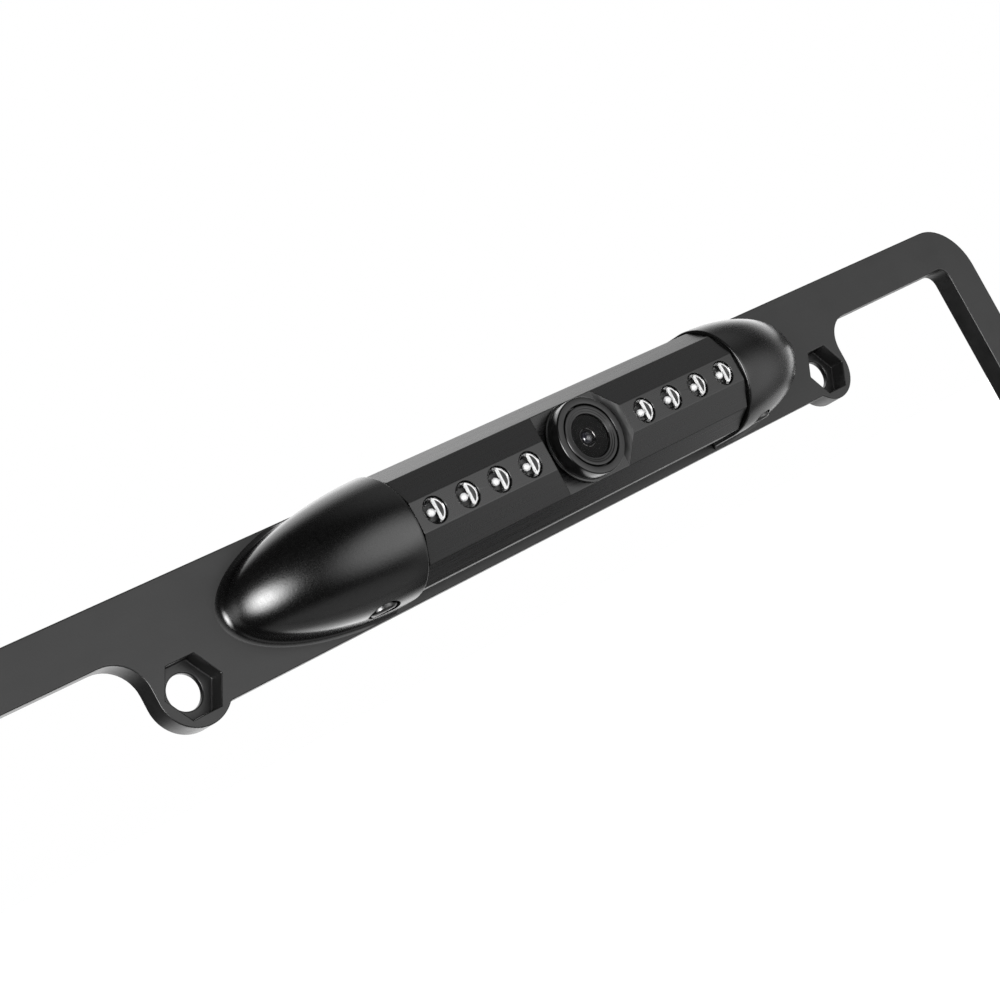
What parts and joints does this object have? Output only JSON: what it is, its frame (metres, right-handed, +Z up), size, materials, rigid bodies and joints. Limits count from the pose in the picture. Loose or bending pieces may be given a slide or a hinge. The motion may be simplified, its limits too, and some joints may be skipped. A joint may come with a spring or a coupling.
{
  "type": "backup camera",
  "caption": "Licence plate frame with a faceted tube across its top bar that holds a camera and infrared lamps and tilts between bullet-shaped end caps.",
  "frame": {"origin": "midway between the two upper plate bolts, on the frame's back face", "axes": "+X to the right seen from the front, -Y out of the front towards the viewer, +Z up"},
  "size_m": [0.3098, 0.0238, 0.1623],
  "materials": {
    "frame_black": "satin",
    "cap_black": "gloss",
    "tube_black": "satin black anodised",
    "barrel_black": "satin",
    "led_clear": "clear",
    "lens_glass": "polished",
    "seal_rubber": "matte",
    "screw_steel": "black oxide",
    "pad_brass": "turned",
    "inner_plastic": "matte",
    "board_green": "solder mask",
    "sensor_ceramic": "polished",
    "ribbon_tan": "flexible film"
  },
  "bodies": {
    "frame": {"frame_plate": "frame_black", "left_end_cap": "cap_black", "right_end_cap": "cap_black", "left_lower_cap_screw": "screw_steel", "left_upper_cap_screw": "screw_steel", "right_lower_cap_screw": "screw_steel", "right_upper_cap_screw": "screw_steel", "left_lock_pad": "pad_brass", "right_lock_pad": "pad_brass"},
    "camera_tube": {"tube_housing": "tube_black", "left_end_plug": "inner_plastic", "right_end_plug": "inner_plastic", "left_friction_ring": "seal_rubber", "right_friction_ring": "seal_rubber", "left_led_board": "board_green", "right_led_board": "board_green", "left_board_lead": "ribbon_tan", "right_board_lead": "ribbon_tan", "left_led_1": "led_clear", "left_led_2": "led_clear", "left_led_3": "led_clear", "left_led_4": "led_clear", "right_led_1": "led_clear", "right_led_2": "led_clear", "right_led_3": "led_clear", "right_led_4": "led_clear", "camera_barrel": "barrel_black", "lens_bezel": "barrel_black", "cover_glass": "lens_glass", "glass_seal": "seal_rubber", "lens_barrel": "inner_plastic", "front_lens": "lens_glass", "middle_lens": "lens_glass", "rear_lens": "lens_glass", "lens_holder": "inner_plastic", "ir_filter": "lens_glass", "image_sensor": "sensor_ceramic", "sensor_board": "board_green", "cable_gland": "seal_rubber"},
    "left_lock": {"left_lock_screw": "screw_steel"},
    "right_lock": {"right_lock_screw": "screw_steel"}
  },
  "joints": [
    {"name": "tube_tilt", "type": "hinge", "parent": "frame", "child": "camera_tube", "pos_m": [0, -0.01175, 0.0079], "axis": [1, 0, 0], "range_deg": [-20, 20]},
    {"name": "left_lock_turn", "type": "hinge", "parent": "frame", "child": "left_lock", "pos_m": [-0.0531, -0.01295, -0.0021], "axis": [0, 0, -1], "range_deg": [0, 720]},
    {"name": "right_lock_turn", "type": "hinge", "parent": "frame", "child": "right_lock", "pos_m": [0.0531, -0.01295, -0.0021], "axis": [0, 0, -1], "range_deg": [0, 720]}
  ]
}
